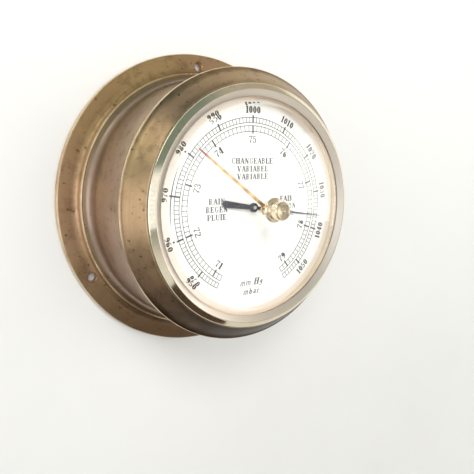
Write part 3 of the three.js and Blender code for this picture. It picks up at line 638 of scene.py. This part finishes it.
# Letter shapes: unit height, thick stems and thin joining lines.
def glyph_parts(ch):
    """Strokes of one character as (points, half widths) and its advance width."""
    TH, TN = 0.108, 0.046

    def line(x0, y0, x1, y1, w):
        return ([(x0, y0), (x1, y1)], [w, w])

    def curve(pts, ws, n=7):
        """A smooth line through the points, with widths between."""
        p = [pts[0]] + list(pts) + [pts[-1]]
        out, ow = [], []
        for i in range(1, len(p) - 2):
            for k in range(n):
                t = k / n
                q = []
                for d in (0, 1):
                    a, b, c, e = p[i - 1][d], p[i][d], p[i + 1][d], p[i + 2][d]
                    q.append(0.5 * (2 * b + (c - a) * t + (2 * a - 5 * b + 4 * c - e) * t * t + (3 * b - a - 3 * c + e) * t ** 3))
                out.append(tuple(q))
                ow.append(ws[i - 1] * (1 - t) + ws[i] * t)
        out.append(tuple(pts[-1]))
        ow.append(ws[-1])
        return (out, ow)

    def loop(cx, cy, rx, ry, wx, wy, n=28):
        pts, ws = [], []
        for i in range(n + 1):
            t = 2 * math.pi * i / n
            pts.append((cx + (rx - wx) * math.cos(t), cy + (ry - wy) * math.sin(t)))
            c = abs(math.cos(t))
            ws.append(wy + (wx - wy) * c ** 1.5)
        return (pts, ws)

    def ball(x, y, r=0.07):
        return ([(x - r, y), (x - r * 0.7, y), (x, y), (x + r * 0.7, y), (x + r, y)], [0.012, r * 0.7, r, r * 0.7, 0.012])

    def foot(x, y, w=0.15):
        return line(x - w, y, x + w, y, 0.018)

    def stem(x, y0=0.0, y1=1.0, serifs=(True, True), w=TH):
        s = [line(x, y0, x, y1, w)]
        if serifs[0]:
            s.append(foot(x, y0 + 0.018, w + 0.08))
        if serifs[1]:
            s.append(foot(x, y1 - 0.018, w + 0.08))
        return s

    if ch == " ":
        return [], 0.32
    if ch == "0":
        return [loop(0.29, 0.5, 0.26, 0.51, TH, TN)], 0.58
    if ch == "1":
        return [line(0.24, 0, 0.24, 1.0, TH), foot(0.24, 0.018, 0.18), curve([(0.06, 0.86), (0.14, 0.90), (0.20, 0.985)], [0.02, 0.03, 0.03], 3)], 0.46
    if ch == "2":
        return [ball(0.13, 0.77), curve([(0.075, 0.79), (0.12, 0.93), (0.25, 0.985), (0.38, 0.90), (0.405, 0.72), (0.30, 0.46), (0.14, 0.24), (0.07, 0.08)],
                                        [0.02, 0.025, 0.022, 0.06, 0.075, 0.045, 0.025, 0.022]),
                curve([(0.07, 0.065), (0.2, 0.08), (0.34, 0.055), (0.43, 0.09), (0.475, 0.22)], [0.06, 0.065, 0.07, 0.05, 0.015])], 0.54
    if ch == "3":
        return [ball(0.12, 0.80), curve([(0.07, 0.82), (0.13, 0.95), (0.25, 0.985), (0.37, 0.90), (0.38, 0.72), (0.30, 0.57), (0.18, 0.53)], [0.02, 0.022, 0.022, 0.06, 0.07, 0.03, 0.02]),
                curve([(0.18, 0.53), (0.33, 0.50), (0.42, 0.36), (0.40, 0.14), (0.27, 0.02), (0.13, 0.04), (0.06, 0.17)], [0.02, 0.025, 0.07, 0.065, 0.022, 0.022, 0.02]), ball(0.11, 0.20)], 0.54
    if ch == "4":
        return [line(0.36, 0.0, 0.36, 1.0, TH), foot(0.36, 0.018, 0.16), line(0.33, 0.97, 0.03, 0.28, 0.02), line(0.02, 0.275, 0.52, 0.275, 0.022)], 0.57
    if ch == "5":
        return [curve([(0.11, 0.95), (0.25, 0.915), (0.42, 0.95)], [0.045, 0.06, 0.03]), line(0.11, 0.96, 0.10, 0.52, 0.02),
                curve([(0.10, 0.50), (0.20, 0.60), (0.34, 0.56), (0.41, 0.36), (0.37, 0.13), (0.25, 0.02), (0.12, 0.05), (0.06, 0.17)], [0.018, 0.022, 0.055, 0.075, 0.06, 0.022, 0.022, 0.02]), ball(0.11, 0.20)], 0.53
    if ch in "69":
        parts = [loop(0.28, 0.31, 0.235, 0.32, TH, TN), curve([(0.08, 0.30), (0.10, 0.60), (0.22, 0.86), (0.45, 0.985)], [0.07, 0.075, 0.045, 0.02])]
        if ch == "9":
            parts = [([(0.56 - x, 1.0 - y) for x, y in p], w) for p, w in parts]
        return parts, 0.56
    if ch == "7":
        return [curve([(0.06, 0.93), (0.2, 0.90), (0.34, 0.935), (0.46, 0.93)], [0.055, 0.065, 0.055, 0.05]), line(0.055, 0.99, 0.05, 0.74, 0.018),
                curve([(0.465, 0.95), (0.30, 0.60), (0.22, 0.30), (0.22, 0.0)], [0.018, 0.03, 0.07, 0.085])], 0.50
    if ch == "8":
        return [loop(0.27, 0.755, 0.19, 0.25, 0.065, TN), loop(0.27, 0.265, 0.235, 0.275, TH, TN)], 0.54
    if ch == "A":
        return [line(0.08, 0.0, 0.31, 1.0, 0.02), line(0.33, 1.0, 0.56, 0.0, TH), line(0.16, 0.33, 0.46, 0.33, 0.018), foot(0.08, 0.018, 0.1), foot(0.56, 0.018, 0.13)], 0.66
    if ch == "B":
        return stem(0.14) + [curve([(0.14, 0.98), (0.34, 0.97), (0.45, 0.76), (0.34, 0.55), (0.14, 0.53)], [0.018, 0.022, 0.07, 0.022, 0.018]),
                             curve([(0.14, 0.52), (0.38, 0.50), (0.49, 0.27), (0.38, 0.03), (0.14, 0.02)], [0.018, 0.022, 0.075, 0.022, 0.018])], 0.60
    if ch == "C":
        return [curve([(0.53, 0.72), (0.50, 0.90), (0.34, 0.985), (0.16, 0.86), (0.11, 0.5), (0.16, 0.14), (0.34, 0.015), (0.50, 0.10), (0.55, 0.28)],
                      [0.018, 0.02, 0.022, 0.06, 0.08, 0.06, 0.022, 0.02, 0.018]), line(0.53, 0.98, 0.53, 0.70, 0.018)], 0.62
    if ch == "E":
        return stem(0.14) + [line(0.14, 0.98, 0.50, 0.98, 0.018), line(0.14, 0.51, 0.38, 0.51, 0.018), line(0.14, 0.02, 0.52, 0.02, 0.018),
                             line(0.50, 0.98, 0.50, 0.78, 0.018), line(0.38, 0.61, 0.38, 0.41, 0.018), line(0.52, 0.02, 0.53, 0.25, 0.018)], 0.58
    if ch == "F":
        return stem(0.14) + [line(0.14, 0.98, 0.50, 0.98, 0.018), line(0.14, 0.51, 0.38, 0.51, 0.018), line(0.50, 0.98, 0.50, 0.76, 0.018), line(0.38, 0.61, 0.38, 0.41, 0.018)], 0.55
    if ch == "G":
        return [curve([(0.52, 0.72), (0.49, 0.90), (0.34, 0.985), (0.16, 0.86), (0.11, 0.5), (0.16, 0.14), (0.34, 0.015), (0.49, 0.08)],
                      [0.018, 0.02, 0.022, 0.06, 0.08, 0.06, 0.022, 0.02]), line(0.52, 0.98, 0.52, 0.70, 0.018), line(0.50, 0.03, 0.50, 0.43, 0.06), foot(0.50, 0.43, 0.13)], 0.66
    if ch == "H":
        return stem(0.13) + stem(0.53) + [line(0.13, 0.5, 0.53, 0.5, 0.018)], 0.67
    if ch == "I":
        return stem(0.15), 0.31
    if ch == "L":
        return stem(0.14) + [line(0.14, 0.02, 0.50, 0.02, 0.018), line(0.50, 0.02, 0.51, 0.28, 0.018)], 0.56
    if ch == "N":
        return [line(0.12, 0, 0.12, 1, 0.022), line(0.54, 0, 0.54, 1, 0.022), line(0.14, 0.97, 0.53, 0.04, TH), foot(0.12, 0.018, 0.1), foot(0.10, 0.982, 0.1), foot(0.54, 0.982, 0.1)], 0.66
    if ch in "OÖ":
        parts = [loop(0.33, 0.5, 0.27, 0.51, 0.08, TN)]
        if ch == "Ö":
            parts += [ball(0.22, 1.16, 0.055), ball(0.44, 1.16, 0.055)]
        return parts, 0.66
    if ch == "P":
        return stem(0.14) + [curve([(0.14, 0.98), (0.38, 0.97), (0.50, 0.73), (0.38, 0.47), (0.14, 0.46)], [0.018, 0.022, 0.075, 0.022, 0.018])], 0.58
    if ch == "R":
        return stem(0.14) + [curve([(0.14, 0.98), (0.36, 0.97), (0.47, 0.75), (0.36, 0.52), (0.14, 0.51)], [0.018, 0.022, 0.07, 0.022, 0.018]),
                             curve([(0.30, 0.51), (0.42, 0.40), (0.45, 0.12), (0.56, 0.02)], [0.02, 0.05, 0.07, 0.02])], 0.63
    if ch == "S":
        return [curve([(0.44, 0.80), (0.38, 0.95), (0.25, 0.985), (0.12, 0.88), (0.14, 0.66), (0.28, 0.52), (0.42, 0.36), (0.42, 0.12), (0.27, 0.015), (0.13, 0.07), (0.08, 0.24)],
                      [0.018, 0.02, 0.022, 0.05, 0.065, 0.075, 0.065, 0.05, 0.022, 0.02, 0.018]), line(0.45, 0.98, 0.45, 0.76, 0.016), line(0.07, 0.02, 0.07, 0.26, 0.016)], 0.53
    if ch == "U":
        return [curve([(0.14, 1.0), (0.14, 0.35), (0.20, 0.08), (0.33, 0.015), (0.48, 0.08), (0.54, 0.35), (0.54, 1.0)], [TH, TH, 0.05, 0.022, 0.022, 0.022, 0.022]), foot(0.14, 0.982), foot(0.54, 0.982, 0.1)], 0.66
    if ch == "V":
        return [line(0.10, 1.0, 0.32, 0.0, TH), line(0.56, 1.0, 0.34, 0.0, 0.02), foot(0.10, 0.982, 0.13), foot(0.56, 0.982, 0.1)], 0.65
    if ch == "b":
        return [line(0.12, 0.0, 0.12, 1.0, 0.06), loop(0.28, 0.31, 0.19, 0.32, 0.065, TN)], 0.50
    if ch == "a":
        return [curve([(0.08, 0.46), (0.16, 0.62), (0.30, 0.60), (0.34, 0.45), (0.34, 0.06), (0.42, 0.02)], [0.045, 0.022, 0.03, 0.06, 0.06, 0.02]), loop(0.20, 0.19, 0.14, 0.19, 0.05, TN)], 0.46
    if ch == "r":
        return [line(0.12, 0.0, 0.12, 0.62, 0.06), foot(0.12, 0.018, 0.12), curve([(0.14, 0.42), (0.24, 0.58), (0.33, 0.60)], [0.02, 0.025, 0.045])], 0.38
    if ch == "m":
        return [line(0.10, 0.0, 0.10, 0.62, 0.055), curve([(0.12, 0.46), (0.24, 0.62), (0.34, 0.52), (0.35, 0.0)], [0.02, 0.03, 0.055, 0.055]),
                curve([(0.37, 0.46), (0.49, 0.62), (0.59, 0.52), (0.60, 0.0)], [0.02, 0.03, 0.055, 0.055])], 0.70
    if ch == "g":
        return [loop(0.22, 0.38, 0.17, 0.23, 0.055, TN), curve([(0.38, 0.60), (0.38, 0.05), (0.30, -0.22), (0.14, -0.22), (0.08, -0.12)], [0.05, 0.055, 0.03, 0.022, 0.03])], 0.46
    raise ValueError(ch)


def write(target, text, height, centre, deg=0.0, squeeze=1.0, spacing=0.04, slant=0.0, flip=False, hair=0.043):
    """Sets a word with the middle of its height at centre, turned clockwise by deg."""
    glyphs = [glyph_parts(c) for c in text]
    total = sum(g[1] for g in glyphs) + spacing * (len(text) - 1)
    x = -total / 2
    turn = rad(deg + (180 if flip else 0))
    c, s = math.cos(turn), math.sin(turn)

    def put(px, py):
        py -= 0.5
        u = (px + slant * py) * height * squeeze
        v = py * height
        return (centre[0] + u * c + v * s, centre[1] - u * s + v * c)

    for parts, adv in glyphs:
        for pts, ws in parts:
            left, right_ = [], []
            for i in range(len(pts)):
                a = pts[max(0, i - 1)]
                b = pts[min(len(pts) - 1, i + 1)]
                if pts[0] == pts[-1] and len(pts) > 8 and i in (0, len(pts) - 1):
                    a, b = pts[-2], pts[1]
                l = math.hypot(b[0] - a[0], b[1] - a[1]) or 1.0
                nx, ny = -(b[1] - a[1]) / l, (b[0] - a[0]) / l
                w = max(ws[i], hair)
                left.append(put(x + pts[i][0] + nx * w, pts[i][1] + ny * w))
                right_.append(put(x + pts[i][0] - nx * w, pts[i][1] - ny * w))
            target.strip(left, right_, t=0.03 + 0.0004 * (len(target.f) % 7))
        x += adv + spacing


numerals = Print()
for mb in range(950, 1051, 10):
    a = (mb - 1000) * 2.7
    write(numerals, str(mb), 2.95, polar(43.45, a), a, 1.22, 0.03, flip=abs(a) > 90)
for cm in range(71, 80):
    a = (cm - 75) * 36.0
    write(numerals, str(cm), 3.15, polar(30.55, a), a, 1.22, 0.04, flip=abs(a) > 90)
words = Print()
for text, x, z in (("CHANGEABLE", 0, 21.0), ("VARIABEL", 0.2, 17.5), ("VARIABLE", 0.2, 14.0),
                   ("RAIN", -19.1, 3.4), ("REGEN", -19.1, -0.1), ("PLUIE", -19.1, -3.6),
                   ("FAIR", 20.2, 3.4), ("SCHÖN", 20.2, -0.1), ("BEAU", 20.2, -3.6)):
    write(words, text, 2.5, (x, z), 0, 1.28, 0.10, hair=0.045)
write(words, "mm Hg", 3.0, (0, -34.6), 0, 1.3, 0.1, slant=0.22)
write(words, "mbar", 3.0, (0, -38.9), 0, 1.3, 0.1, slant=0.22)
GREY_INK = ink("grey_ink", (0.05, 0.05, 0.05), (0.10, 0.10, 0.10))
for target, name, mat in ((scale, "dial_scale", INK), (numerals, "dial_numerals", INK), (words, "dial_words", GREY_INK)):
    o = target.make(name, mat)
    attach(o, "case")


# ------------------------------------------------------------------ hands
def blade(name, stations, y_of, deg, thick, crown, mat, n=9):
    """A tapering hand: stations are (distance, half width); the face is crowned across its width."""
    c, s = math.cos(rad(deg)), math.sin(rad(deg))
    verts, faces = [], []
    for d, w in stations:
        for side in (0, 1):
            for k in range(n):
                u = -1 + 2 * k / (n - 1)
                px = u * w
                y = y_of(d) - (thick + crown * (1 - u * u) if side == 0 else 0.0)
                verts.append(((px * c + d * s) * MM, y * MM, (-px * s + d * c) * MM))
    row = 2 * n
    for i in range(len(stations) - 1):
        a, b = i * row, (i + 1) * row
        for k in range(n - 1):
            faces.append([a + k, a + k + 1, b + k + 1, b + k])
            faces.append([a + n + k + 1, a + n + k, b + n + k, b + n + k + 1])
        faces.append([a, b, b + n, a + n])
        faces.append([a + n - 1, a + 2 * n - 1, b + 2 * n - 1, b + n - 1])
    for i in (0, len(stations) - 1):
        a = i * row
        faces.append([a + k for k in range(n)] + [a + n + k for k in range(n - 1, -1, -1)])
    return new_object(name, verts, faces, mat, 30)


pointer = blade("pressure_pointer", [(0.6, 0.8), (2, 0.78), (8, 0.7), (20, 0.52), (30, 0.36), (38, 0.22), (41.0, 0.14), (HAND_TIP_R, 0.03)],
                lambda d: HAND_Y, HAND_ANGLE, 0.25, 0.14, MATS["blued_steel"])
tail = blade("pressure_tail", [(0.6, 1.0), (2, 1.02), (6, 1.18), (12, 1.45), (15.3, 1.6), (15.9, 1.55), (16.6, 0.95), (HAND_TAIL_R, 0.1)],
             lambda d: HAND_Y, HAND_ANGLE + 180, 0.25, 0.14, MATS["blued_steel"])
hub = lathe("pressure_hub", rounded([(0.85, HAND_Y + 0.08), (2.15, HAND_Y + 0.08), (2.15, HAND_Y - 0.75), (1.75, HAND_Y - 1.12), (0.85, HAND_Y - 1.12)], {1: 0.1, 2: 0.25, 3: 0.2}, 4), MATS["blued_steel"], 64, 35)
cap = lathe("arbor_end", rounded([(0, HAND_Y + 0.5), (0.78, HAND_Y + 0.5), (0.78, -51.72), (0.5, -51.88), (0, -51.9)], {2: 0.1, 3: 0.15}, 3), MATS["steel"], 32, 35)
for o in (pointer, tail, hub):
    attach(o, "hand_arbor")
    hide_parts("pressure_hand")
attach(cap, "hand_arbor")

slope = (61.0 - 54.2) / SET_TIP_R


def set_y(d):
    return -60.75 + slope * d + 0.2


set_hand = blade("set_hand_blade", [(1.4, 0.95), (4, 0.82), (8, 0.74), (20, 0.62), (30, 0.54), (35, 0.48), (39.6, 0.3), (SET_TIP_R, 0.05)],
                 set_y, SET_ANGLE, 0.25, 0.12, [hand_gold])
set_hub = lathe("set_hand_hub", rounded([(1.6, -61.2), (2.6, -61.2), (2.6, -60.5), (2.3, -60.2), (1.6, -60.2)], {1: 0.15, 2: 0.15, 3: 0.1}, 3), hand_gold, 64, 35)
for o in (set_hand, set_hub):
    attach(o, "set_assembly")
    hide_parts("set_hand")

knob = lathe("set_knob_fine", rounded([
    (1.55, -66.45), (5.5, -66.45), (5.5, -67.2), (5.15, -67.75), (4.15, -67.95), (3.85, -68.2), (3.85, -68.9), (4.15, -69.2),
    (4.15, -72.5), (3.8, -72.95), (3.25, -73.0), (3.05, -72.75), (1.3, -72.65), (0.7, -72.2), (0, -72.1), (0, -71.2), (1.55, -71.2),
], {1: 0.2, 2: 0.3, 3: 0.25, 4: 0.15, 5: 0.2, 6: 0.2, 7: 0.15, 8: 0.3, 9: 0.25, 10: 0.15, 11: 0.15, 12: 0.3, 13: 0.3}, 4), gold_mat, 96, 30)
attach(knob, "set_assembly")
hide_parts("set_knob")
washer = lathe("knob_washer_fine", rounded([(1.9, -66.07), (4.9, -66.07), (4.9, -66.33), (1.9, -66.33)], 0.1, 3), MATS["fibre"], 64, 35)
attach(washer, "set_assembly")
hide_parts("knob_washer")

# ------------------------------------------------------------------ back
back_cover = lathe("back_cover_fine", rounded([(0, 0), (40, 0), (63.5, 0), (63.7, -0.2), (63.7, -1.5), (0, -1.5)], {2: 0.2}, 3), MATS["plain_brass"], 192, 35)
tools = [lathe("tool", [(0, 1), (3, 1), (3, -3), (0, -3)], MATS["plain_brass"], 40, 35, (-36, 0))]
for a in (40, 140, 220, 320):
    x, z = polar(34, a)
    tools.append(lathe("tool", [(0, 0.5), (2.55, 0.5), (2.55, -0.15), (1.55, -1.15), (1.55, -3), (0, -3)], MATS["plain_brass"], 32, 35, (x, z)))
for a in (60, 180, 300):
    x, z = polar(61.4, a)
    tools.append(lathe("tool", [(0, 0.5), (2.05, 0.5), (2.05, -0.15), (1.2, -1.0), (1.2, -3), (0, -3)], MATS["plain_brass"], 32, 35, (x, z)))
cut(back_cover, tools)
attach(back_cover, "case")
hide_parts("back_cover")


def screw(name, node, x, z, rh, rs, tip, mat, turn):
    o = lathe(name, rounded([(0, -0.06), (rh - 0.12, -0.06), (rh, -0.18), (rs, -(rh - rs) - 0.15), (rs, tip), (0, tip)], {1: 0.08}, 3), mat, 40, 35, (x, z))
    w, d = 0.35, 0.55
    c, s = math.cos(rad(turn)), math.sin(rad(turn))
    pts = [(-4, -w), (4, -w), (4, w), (-4, w)]
    pts = [(x + p * c - q * s, z + p * s + q * c) for p, q in pts]
    v = [(p * MM, 0.001, q * MM) for p, q in pts] + [(p * MM, -d * MM, q * MM) for p, q in pts]
    f = [[0, 1, 2, 3], [7, 6, 5, 4], [0, 4, 5, 1], [1, 5, 6, 2], [2, 6, 7, 3], [3, 7, 4, 0]]
    cut(o, [new_object("tool", v, f, mat)])
    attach(o, "case")
    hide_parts(node)


for i, a in enumerate((60, 180, 300)):
    x, z = polar(61.4, a)
    screw(f"cover_screw_fine_{i + 1}", f"cover_screw_{i + 1}", x, z, 1.9, 1.05, -5.2, MATS["plain_brass"], 20 + 47 * i)
for i, a in enumerate((40, 140, 220, 320)):
    x, z = polar(34, a)
    screw(f"movement_screw_fine_{i + 1}", f"movement_screw_{i + 1}", x, z, 2.4, 1.4, -10.5, MATS["steel"], 10 + 61 * i)

# ------------------------------------------------------------------ what stays from the CAD
slots = {s["node"]: s["material_slot"] for s in frame["record"]["subparts"]}
for name, o in frame["nodes"].items():
    mat = MATS[slots[name]]
    if o.data.materials:
        for i in range(len(o.data.materials)):
            o.data.materials[i] = mat
    else:
        o.data.materials.append(mat)


# ------------------------------------------------------------------ wall, floor and light
def stage_material(name, a, b, scale_, one_sided=False):
    n = Nodes(name)
    f = n.noise(scale_, 6.0, 0.6)
    if one_sided:
        # Painted shade: the wall paint turns greyer towards the bottom.
        sep_ = n.node("ShaderNodeSeparateXYZ")
        n.link(n.coord, sep_.inputs[0])
        a = n.mix(n.range(sep_.outputs[2], -0.14, 0.08), (0.70, 0.70, 0.695), a)
    n.finish(n.mix(f, a, b), 0.8, 0.0, n.bump(n.noise(60.0, 4.0, 0.6), 0.15, 0.001), spec=0.2)
    if one_sided:
        geo = n.node("ShaderNodeNewGeometry")
        path = n.node("ShaderNodeLightPath")
        hide = n.math("MAXIMUM", geo.outputs["Backfacing"], path.outputs["Is Shadow Ray"])
        clear = n.node("ShaderNodeBsdfTransparent")
        mix = n.node("ShaderNodeMixShader")
        n.link(hide, mix.inputs[0])
        n.link(n.p.outputs[0], mix.inputs[1])
        n.link(clear.outputs[0], mix.inputs[2])
        n.link(mix.outputs[0], n.out.inputs[0])
    return n.m


def sheet(name, corners, mat):
    me = bpy.data.meshes.new(name)
    me.from_pydata(corners, [], [[0, 1, 2, 3]])
    o = bpy.data.objects.new(name, me)
    bpy.context.scene.collection.objects.link(o)
    me.materials.append(mat)
    return o


W = 1.6
wall = sheet("wall", [(-W, 0.0006, -0.55), (W, 0.0006, -0.55), (W, 0.0006, 1.2), (-W, 0.0006, 1.2)], stage_material("wall_paint", (0.90, 0.90, 0.895), (0.875, 0.875, 0.87), 3.0, True))
floor = sheet("floor", [(-W, -2.4, -0.55), (W, -2.4, -0.55), (W, 1.6, -0.55), (-W, 1.6, -0.55)], stage_material("floor_paint", (0.72, 0.70, 0.68), (0.66, 0.64, 0.62), 5.0))


# A dark brown sheet on the floor below the case, out of view, standing in for shade: it darkens what the lower brass
# reflects.
dark_sheet_height = -0.546
dark_sheet_piece = sheet("dark_sheet_on_floor", [(-0.30, -0.70, dark_sheet_height), (0.13, -0.70, dark_sheet_height), (0.13, -0.11, dark_sheet_height), (-0.30, -0.11, dark_sheet_height)], stage_material("dark_sheet_paint", (0.075, 0.045, 0.03), (0.05, 0.03, 0.02), 30.0))


def area(name, where, target, size, power, colour=(1, 1, 1), size_y=None, glossy=True):
    d = bpy.data.lights.new(name, "AREA")
    d.shape = "RECTANGLE"
    d.size = size
    d.size_y = size_y or size
    d.energy = power
    d.color = colour
    o = bpy.data.objects.new(name, d)
    o.location = where
    o.rotation_euler = (Vector(target) - Vector(where)).to_track_quat("-Z", "Y").to_euler()
    bpy.context.scene.collection.objects.link(o)
    o.visible_glossy = glossy
    return o


area("key", (-0.42, -0.95, 0.72), (0, 0, 0), 0.5, 6.4, (1.0, 0.985, 0.96), glossy=False)
area("window", (-0.73, -0.34, 0.75), (0, -0.03, 0), 0.22, 1.2, (1.0, 0.98, 0.94), 0.5)
area("front", (0.35, -1.3, 0.15), (0, 0, 0), 1.0, 4.4, (1.0, 0.99, 0.97), glossy=False)
area("left", (-0.95, -0.38, -0.05), (0, -0.03, 0), 0.6, 1.1, (1.0, 0.985, 0.95))
area("side", (1.0, -0.55, 0.1), (0, -0.03, 0), 0.6, 1.6, (1.0, 0.97, 0.92))
area("behind", (0.5, 0.9, 0.6), (0, 0, 0), 0.7, 5, (1.0, 0.99, 0.98))

world = bpy.data.worlds.new("room")
bpy.context.scene.world = world
world.use_nodes = True
t = world.node_tree
t.nodes.clear()
out = t.nodes.new("ShaderNodeOutputWorld")
bg = t.nodes.new("ShaderNodeBackground")
co = t.nodes.new("ShaderNodeTexCoord")
sep = t.nodes.new("ShaderNodeSeparateXYZ")
t.links.new(co.outputs["Generated"], sep.inputs[0])


def w_range(v, a, b, c=0.0, d=1.0):
    n = t.nodes.new("ShaderNodeMapRange")
    t.links.new(v, n.inputs[0])
    for i, q in enumerate((a, b, c, d)):
        n.inputs[i + 1].default_value = q
    return n.outputs[0]


def w_mix(fac, a, b):
    n = t.nodes.new("ShaderNodeMix")
    n.data_type = "RGBA"
    t.links.new(fac, n.inputs[0])
    for k, v in ((6, a), (7, b)):
        if isinstance(v, tuple):
            n.inputs[k].default_value = (*v, 1.0)
        else:
            t.links.new(v, n.inputs[k])
    return n.outputs[2]


dx, dy, dz = sep.outputs
rightward = w_range(dx, -0.02, 0.30)
ang = t.nodes.new("ShaderNodeMath")
ang.operation = "ARCTAN2"
t.links.new(dx, ang.inputs[0])
t.links.new(dy, ang.inputs[1])
comb = t.nodes.new("ShaderNodeCombineXYZ")
t.links.new(ang.outputs[0], comb.inputs[0])
t.links.new(dz, comb.inputs[1])
panes = t.nodes.new("ShaderNodeTexBrick")
t.links.new(comb.outputs[0], panes.inputs["Vector"])
panes.inputs["Scale"].default_value = 5.0
panes.inputs["Color1"].default_value = (2.3, 2.3, 2.25, 1)
panes.inputs["Color2"].default_value = (1.9, 1.95, 2.0, 1)
panes.inputs["Mortar"].default_value = (1.15, 1.28, 1.38, 1)
panes.inputs["Mortar Size"].default_value = 0.035
panes.inputs["Bias"].default_value = -0.3
horizon = w_mix(rightward, panes.outputs[0], (0.80, 0.77, 0.70))
ceiling = w_mix(rightward, (0.36, 0.47, 0.43), (0.78, 0.72, 0.62))
ground = w_mix(rightward, (0.05, 0.032, 0.024), (0.42, 0.36, 0.29))
room = w_mix(w_range(dz, -0.70, -0.42), ground, horizon)
room = w_mix(w_range(dz, 0.30, 0.42), room, ceiling)
t.links.new(room, bg.inputs[0])
bg.inputs[1].default_value = 0.60
t.links.new(bg.outputs[0], out.inputs[0])

bpy.context.scene.view_settings.view_transform = "Standard"
bpy.context.scene.view_settings.look = "None"
bpy.context.scene.view_settings.exposure = 0.0
